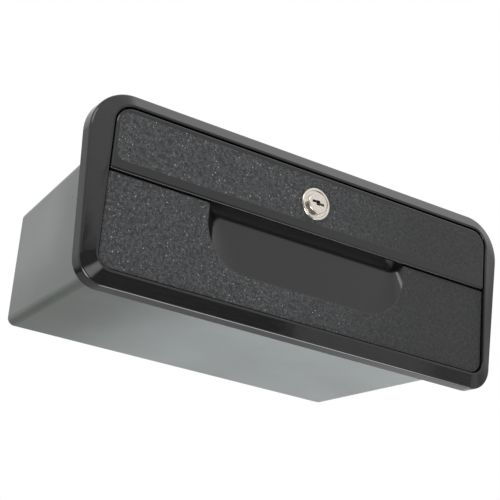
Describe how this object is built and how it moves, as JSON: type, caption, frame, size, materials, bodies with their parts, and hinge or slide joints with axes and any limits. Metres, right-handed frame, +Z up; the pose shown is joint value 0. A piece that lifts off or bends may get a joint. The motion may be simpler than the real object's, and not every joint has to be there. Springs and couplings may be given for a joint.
{
  "type": "cash drawer",
  "caption": "Recess-mounted lockable cash drawer: gloss bezel, grained front with finger scoop and cam lock, drafted housing and roller slides.",
  "frame": {"origin": "centre of the bezel's rear plane, which rests on the counter panel round the cut-out", "axes": "+X to the user's right along the front, +Z up, the front faces -Y and the housing runs back along +Y"},
  "size_m": [0.4244, 0.2184, 0.162],
  "materials": {
    "bezel_gloss": "polished black moulding",
    "front_grain": "fine haircell grain",
    "housing_satin": "satin dark grey",
    "zinc_steel": "zinc plated",
    "black_steel": "black powder coat",
    "nickel": "nickel plate",
    "nylon": "natural nylon",
    "till_plastic": "satin black",
    "rubber": "matt",
    "brass": "knurled brass"
  },
  "bodies": {
    "housing": {"bezel": "bezel_gloss", "mounting_inserts": "brass", "bezel_screws": "zinc_steel", "housing_shell": "housing_satin", "rear_bumpers": "rubber", "lock_strike": "zinc_steel", "strike_screws": "zinc_steel", "slide_rail_left": "zinc_steel", "slide_rail_right": "zinc_steel", "rail_screws": "zinc_steel", "front_axles": "zinc_steel"},
    "drawer": {"drawer_tray": "black_steel", "runner_left": "zinc_steel", "runner_right": "zinc_steel", "runner_rivets": "zinc_steel", "rear_axles": "zinc_steel", "front_plate": "black_steel", "front_panel": "front_grain", "upper_fascia": "front_grain", "front_screws": "zinc_steel", "lock_body": "nickel", "lock_nut": "zinc_steel", "till_insert": "till_plastic", "clip_pins": "zinc_steel", "clip_springs": "zinc_steel"},
    "lock": {"lock_plug": "nickel", "lock_wafers": "brass", "lock_cam": "zinc_steel", "cam_washer": "zinc_steel", "cam_screw": "zinc_steel"},
    "clip_left": {"note_clip_left": "till_plastic"},
    "clip_right": {"note_clip_right": "till_plastic"},
    "front_wheel_left": {"front_roller_left": "nylon"},
    "front_wheel_right": {"front_roller_right": "nylon"},
    "rear_wheel_left": {"rear_roller_left": "nylon"},
    "rear_wheel_right": {"rear_roller_right": "nylon"}
  },
  "joints": [
    {"name": "drawer_slide", "type": "slide", "parent": "housing", "child": "drawer", "axis": [0, -1, 0], "range_m": [0, 0.14]},
    {"name": "lock_turn", "type": "hinge", "parent": "drawer", "child": "lock", "pos_m": [0, 0, 0.0388], "axis": [0, -1, 0], "range_deg": [0, 90]},
    {"name": "note_clip_left_lift", "type": "hinge", "parent": "drawer", "child": "clip_left", "pos_m": [-0.114, 0.1695, 0.0186], "axis": [-1, 0, 0], "range_deg": [0, 48], "stiffness_Nm_per_rad": 0.04, "springref_deg": -34.38},
    {"name": "note_clip_right_lift", "type": "hinge", "parent": "drawer", "child": "clip_right", "pos_m": [0.114, 0.1695, 0.0186], "axis": [-1, 0, 0], "range_deg": [0, 48], "stiffness_Nm_per_rad": 0.04, "springref_deg": -34.38},
    {"name": "front_roller_left_turn", "type": "hinge", "parent": "housing", "child": "front_wheel_left", "pos_m": [-0.1626, 0.012, -0.0414], "axis": [1, 0, 0], "continuous": true},
    {"name": "rear_roller_left_turn", "type": "hinge", "parent": "drawer", "child": "rear_wheel_left", "pos_m": [-0.1626, 0.17, -0.0417], "axis": [1, 0, 0], "continuous": true},
    {"name": "front_roller_right_turn", "type": "hinge", "parent": "housing", "child": "front_wheel_right", "pos_m": [0.1626, 0.012, -0.0414], "axis": [1, 0, 0], "continuous": true},
    {"name": "rear_roller_right_turn", "type": "hinge", "parent": "drawer", "child": "rear_wheel_right", "pos_m": [0.1626, 0.17, -0.0417], "axis": [1, 0, 0], "continuous": true}
  ],
  "couplings": [
    {"joint": "front_roller_left_turn", "follows": "drawer_slide", "rad_per_m": 125},
    {"joint": "rear_roller_left_turn", "follows": "drawer_slide", "rad_per_m": 125},
    {"joint": "front_roller_right_turn", "follows": "drawer_slide", "rad_per_m": 125},
    {"joint": "rear_roller_right_turn", "follows": "drawer_slide", "rad_per_m": 125}
  ]
}
